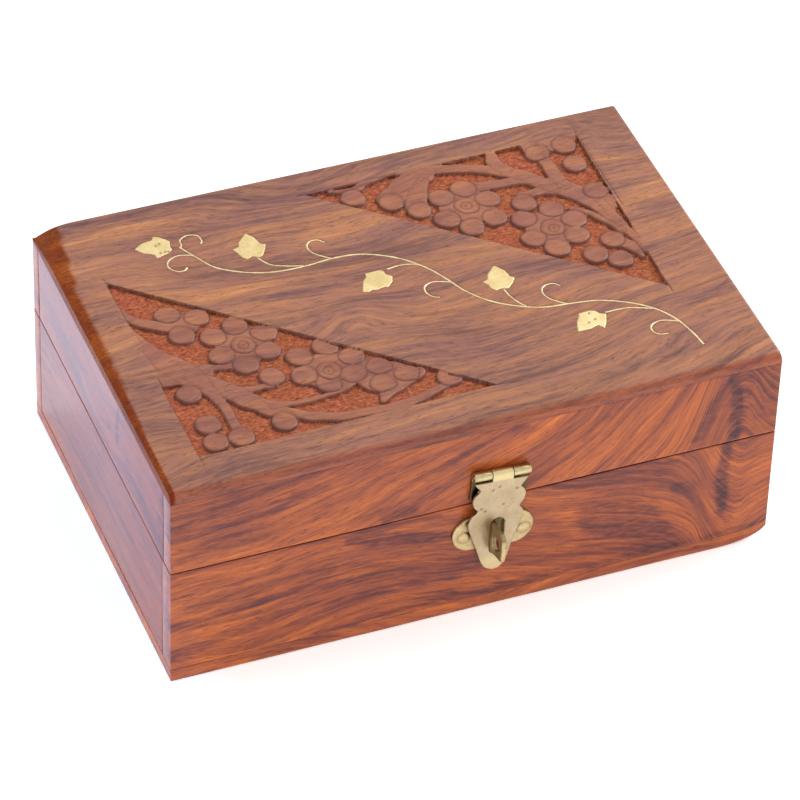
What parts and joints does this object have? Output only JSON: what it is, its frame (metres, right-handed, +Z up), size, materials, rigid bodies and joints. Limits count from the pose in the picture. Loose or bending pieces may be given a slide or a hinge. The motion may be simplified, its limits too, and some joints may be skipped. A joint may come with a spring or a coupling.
{
  "type": "inlaid wooden box",
  "caption": "Small rosewood box with a hinged lid, two carved floral panels, a brass vine inlay and a front hasp over a staple.",
  "frame": {"origin": "centre of the flat underside of the base board, below the middle of the four outer walls", "axes": "+X to the right along the front, +Y to the back where the hinges are, +Z up through the lid; the hasp is on the -Y face"},
  "size_m": [0.152, 0.1129, 0.058],
  "materials": {
    "board_wood": "varnished sheesham, orange brown with dark streaks",
    "carved_top_wood": "varnished sheesham, dull stained red brown in the carved ground",
    "hardware_brass": "aged yellow brass",
    "flap_brass": "pale satin brass with small pits",
    "inlay_brass": "pale brass, sanded flush with the wood"
  },
  "bodies": {
    "box": {"base_board": "board_wood", "box_front": "board_wood", "box_back": "board_wood", "box_left_end": "board_wood", "box_right_end": "board_wood", "hasp_staple": "hardware_brass", "staple_nail_left": "hardware_brass", "staple_nail_right": "hardware_brass", "back_hinge_left_box_leaf": "hardware_brass", "back_hinge_left_box_nail_1": "hardware_brass", "back_hinge_left_box_nail_2": "hardware_brass", "back_hinge_left_pin": "hardware_brass", "back_hinge_right_box_leaf": "hardware_brass", "back_hinge_right_box_nail_1": "hardware_brass", "back_hinge_right_box_nail_2": "hardware_brass", "back_hinge_right_pin": "hardware_brass"},
    "lid": {"lid_top": "carved_top_wood", "lid_front": "board_wood", "lid_back": "board_wood", "lid_left_end": "board_wood", "lid_right_end": "board_wood", "vine_wire": "inlay_brass", "stalk_wire_1": "inlay_brass", "stalk_wire_2": "inlay_brass", "stalk_wire_3": "inlay_brass", "stalk_wire_4": "inlay_brass", "tendril_wire_1": "inlay_brass", "tendril_wire_2": "inlay_brass", "tendril_wire_3": "inlay_brass", "tendril_wire_4": "inlay_brass", "tendril_wire_5": "inlay_brass", "tendril_wire_6": "inlay_brass", "brass_leaf_1": "inlay_brass", "brass_leaf_2": "inlay_brass", "brass_leaf_3": "inlay_brass", "brass_leaf_4": "inlay_brass", "brass_leaf_5": "inlay_brass", "hasp_lid_leaf": "hardware_brass", "hasp_pin": "hardware_brass", "hasp_leaf_nail_1": "hardware_brass", "hasp_leaf_nail_2": "hardware_brass", "back_hinge_left_lid_leaf": "hardware_brass", "back_hinge_left_lid_nail_1": "hardware_brass", "back_hinge_left_lid_nail_2": "hardware_brass", "back_hinge_right_lid_leaf": "hardware_brass", "back_hinge_right_lid_nail_1": "hardware_brass", "back_hinge_right_lid_nail_2": "hardware_brass"},
    "hasp_flap": {"hasp_flap": "flap_brass"}
  },
  "joints": [
    {"name": "lid_hinge", "type": "hinge", "parent": "box", "child": "lid", "pos_m": [0, 0.05223, 0.0338], "axis": [-1, 0, 0], "range_deg": [0, 170]},
    {"name": "flap_hinge", "type": "hinge", "parent": "lid", "child": "hasp_flap", "pos_m": [0.0049, -0.05223, 0.0426], "axis": [-0.9978, 0, 0.0663], "range_deg": [0, 170]}
  ]
}
